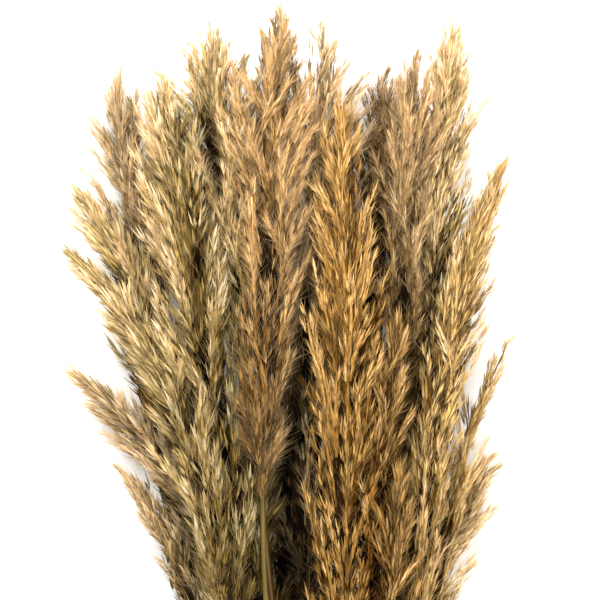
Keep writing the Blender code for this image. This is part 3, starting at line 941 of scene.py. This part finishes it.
def growStem(node):
    # A straw: a round profile along the stem's line, turned in at the cut end to a short hollow lined
    # with pith, its bottom painted dark as the shade deeper in the straw, and closed where it enters the
    # plume. Its radius is the solid's between joints * (1 + (ringSwell - 1) * bulge) *
    # (1 - taper * (share of its length)^2).
    number = int(node[-2:])
    centres, radii = stemLine(node)
    swollen = radii[1:-1] > stem["swollenBy"] * np.maximum(radii[:-2], radii[2:])
    swollen = np.concatenate([[False], swollen, [False]])
    joints = centres[swollen, 1]
    beside = (np.abs(centres[:, 1, None] - joints) < stem["besideJoint"]).any(1) & ~swollen
    beside[[0, -1]] = False
    start, end = centres[0, 1], centres[-1, 1]
    near = (joints[:, None] + np.linspace(-1, 1, 9) * stem["ringSpan"]).ravel()
    edge, second, narrowed = stem["cutEdge"]
    even = np.arange(start + second, end, stem["step"])
    at = np.unique(np.concatenate([[start, start + edge], even, near, [end]]))
    path = smoothThrough(centres[~beside], at)
    straight = ~beside & ~swollen
    away = np.abs(at[:, None] - joints).min(1, initial=1) / stem["ringSpan"]
    power, turn, least = stem["ringShape"]
    bulge = np.clip(1 - away, 0, 1) ** power * np.cos(away * turn).clip(least, 1)
    outer = np.interp(at, centres[straight, 1], radii[straight]) * (1 + (stem["ringSwell"] - 1) * bulge)
    outer *= 1 - stem["taper"] * ((at - start) / (end - start)) ** 2
    outer[0] *= narrowed
    inner = np.array(stem["boreRadii"]) * stem["bore"] * radii[0]
    depth = np.array(stem["boreDepths"]) * stem["boreDepth"]
    bore = path[0] + unit(path[2] - path[0]) * depth[:, None]
    path = np.concatenate([bore, path, path[-1:] + (path[-1] - path[-2]) * 0.02])
    radii = np.concatenate([inner, outer, [0.0002]])[:, None]
    points = profileTube(path, radii, stem["sides"]).reshape(-1, 3)
    random = np.random.default_rng(900 + number)
    ripe = random.uniform(*stem["ripeness"]) if number > 1 else 0.0
    base = (stem["green"] * (1 - ripe) + stem["tan"] * ripe) * random.uniform(*stem["lightness"])
    strongest, fall = stem["ringBand"]
    band = np.clip(strongest - away * fall, 0, 1) * random.uniform(*stem["bandStrength"])
    band = np.concatenate([np.zeros(len(inner)), band, [0]])[:, None]
    tint = base * (1 - band) + stem["ring"] * band
    # The hollow's bottom is painted dark as shade; its sides are pith
    tint[:2] = stem["dark"]
    tint[2:5] = stem["pith"]
    # The straw's tint gets painted shade from what stands over it and in the hollows
    tint = shelter.paintShade(np.repeat(tint, stem["sides"], 0), points, random)
    return points, tubeFaces(len(path), stem["sides"]), tint


for node in (name for name in sorted(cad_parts) if name.startswith("stem")):
    points, faces, tint = growStem(node)
    piece = meshPiece(f"reed_{node}", points, faces, [straw], tint=tint, smooth=True)
    total += len(faces)
    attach(piece, "root")
    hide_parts(node)
print("stems made")


tie = {
    "turns": 5,
    "steps": 44,  # path points in each turn
    "twineRadius": 0.0011,
    "clearance": 0.0003,
    "pitch": 0.0026,
    "plyStep": 0.00065,  # twine length between a ply's cross-sections
    "plySides": 7,
    "plyTwist": 0.0065,  # twine length in which the plies go once round each other
    "plyOut": 0.46,  # a ply's line from the twine's, as a share of the twine's radius
    "plyRadius": 0.56,
    "plyWaves": (0.10, 900),  # how uneven a ply is, and how often along the twine
    "plyEnd": 0.00005,
    "lightShare": (0.25, 0.75),
    "light": srgb(186, 146, 92),
    "dark": srgb(126, 88, 48),
}


def tiePath():
    # The outline of the stems where they are tied, moved out by a stem's and the twine's radius:
    # in direction a it is h(a) * out + h'(a) * across, with h the farthest reach that way. It
    # climbs one pitch in each turn.
    low, high = (np.array(corner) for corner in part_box("tie"))
    middleY = (low[1] + high[1]) / 2
    lines = [stemLine(name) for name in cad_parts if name.startswith("stem")]
    centres = np.array([[np.interp(middleY, c[:, 1], c[:, k]) for k in (0, 2)] for c, _ in lines])
    stemRadius = max(radii[0] for _, radii in lines)
    middle = centres.mean(0)
    count = tie["turns"] * tie["steps"]
    angle = np.arange(count + 1) * 2 * math.pi / tie["steps"]
    out = np.stack([np.cos(angle), np.sin(angle)], 1)
    across = np.stack([-out[:, 1], out[:, 0]], 1)
    farthest = (centres - middle)[np.argmax((centres - middle) @ out.T, axis=0)]
    reach = (farthest * out).sum(1) + stemRadius + tie["clearance"] + tie["twineRadius"]
    side = (farthest * across).sum(1)
    place = middle + out * reach[:, None] + across * side[:, None]
    y = middleY + tie["pitch"] * tie["turns"] * (np.arange(count + 1) / count - 0.5)
    return np.stack([place[:, 0], y, place[:, 1]], 1)


def windTie():
    # Two plies, each a round profile along a helix about the twine's path:
    # ply(s) = path(s) + r * (cos(s * twist) * first axis + sin(s * twist) * second axis)
    path = tiePath()
    length = np.concatenate([[0], np.cumsum(np.linalg.norm(np.diff(path, axis=0), axis=1))])
    at = np.arange(0, length[-1], tie["plyStep"])
    path = np.stack([np.interp(at, length, path[:, k]) for k in range(3)], 1)
    along = unit(np.gradient(path, axis=0))
    shapes = []
    random = np.random.default_rng(77)
    for ply in (0, 1):
        turn = at * 2 * math.pi / tie["plyTwist"] + ply * math.pi
        line = path + splayed(along, turn) * tie["twineRadius"] * tie["plyOut"]
        uneven, often = tie["plyWaves"]
        radii = tie["twineRadius"] * tie["plyRadius"] * (1 + uneven * np.sin(at * often + ply))
        radii[0] = radii[-1] = tie["plyEnd"]
        points = profileTube(line, radii[:, None], tie["plySides"])
        share = random.uniform(*tie["lightShare"], (len(line), 1))
        tint = tie["dark"] * (1 - share) + tie["light"] * share
        faces = tubeFaces(len(line), tie["plySides"])
        shapes.append((points, faces, np.repeat(tint, tie["plySides"], 0)))
    return joined(shapes)


points, faces, tint, _ = windTie()
total += len(faces)
piece = meshPiece("twine_tie", points, faces, [twine], tint=tint, smooth=True)
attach(piece, "root")
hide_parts("tie")
print("tie made,", total, "triangles in all")


studio = {
    "floor": (*srgb(250, 250, 250), 1),
    "floorGlow": 0.12,
    "floorReach": 6.0,  # from the middle to each edge
    "lightColour": (1, 0.97, 0.91),
    # Each light: where it is and aims, its size and its power
    "key": ((-0.20, 0.78, 1.10), (0, 0.25, 0.05), 0.75, 25),
    "fill": ((0.7, 0.1, 1.4), (0, 0.2, 0.05), 1.0, 10),
    "world": ((1, 0.975, 0.93, 1), 0.95),  # its colour and strength
    "viewWidth": 0.42,  # what the view takes in across the plumes
    "view": (0.0085, 0.2250, 0.065),  # its middle, at the height at which that width holds
    "lens": 180,
}


def layFloor():
    # A level sheet: point(u, v) = (u, v, 0)
    points = np.array([[-1, -1, 0], [1, -1, 0], [1, 1, 0], [-1, 1, 0]]) * studio["floorReach"]
    finish = Finish("floor")
    glow = {"Emission_Color": (1, 1, 1, 1), "Emission_Strength": studio["floorGlow"]}
    body = finish.surface(studio["floor"], 0.8, **glow)
    piece = meshPiece("floor", points, np.array([[0, 1, 2, 3]]), [finish.close(body)])
    piece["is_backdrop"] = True


def softLight(name):
    # A round lamp, not seen itself, that faces the point it aims at
    place, aim, size, power = studio[name]
    lamp = bpy.data.lights.new(name, "AREA")
    lamp.shape = "DISK"
    lamp.size = size
    lamp.energy = power
    lamp.color = studio["lightColour"]
    light = addObject(name, lamp)
    light.location = place
    light.rotation_euler = (Vector(aim) - light.location).to_track_quat("-Z", "Y").to_euler()
    light.visible_camera = False


def placeCamera():
    # Above the view's middle by viewWidth * lens / sensor width
    lens = bpy.data.cameras.new("camera")
    lens.lens = studio["lens"]
    lens.sensor_width = 36
    lens.clip_start = 0.01
    camera = addObject("camera", lens)
    x, y, z = studio["view"]
    camera.location = (x, y, z + studio["viewWidth"] * studio["lens"] / lens.sensor_width)
    bpy.context.scene.camera = camera


layFloor()
softLight("key")
softLight("fill")
world = bpy.data.worlds.new("studio")
world.use_nodes = True
for place, value in zip(("Color", "Strength"), studio["world"]):
    world.node_tree.nodes["Background"].inputs[place].default_value = value
bpy.context.scene.world = world
bpy.context.scene.view_settings.view_transform = "Standard"
placeCamera()
print("studio made")

boxes = {"cad": cadBounds, "visual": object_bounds()}
{name: [list(corner) for corner in box] for name, box in boxes.items()}
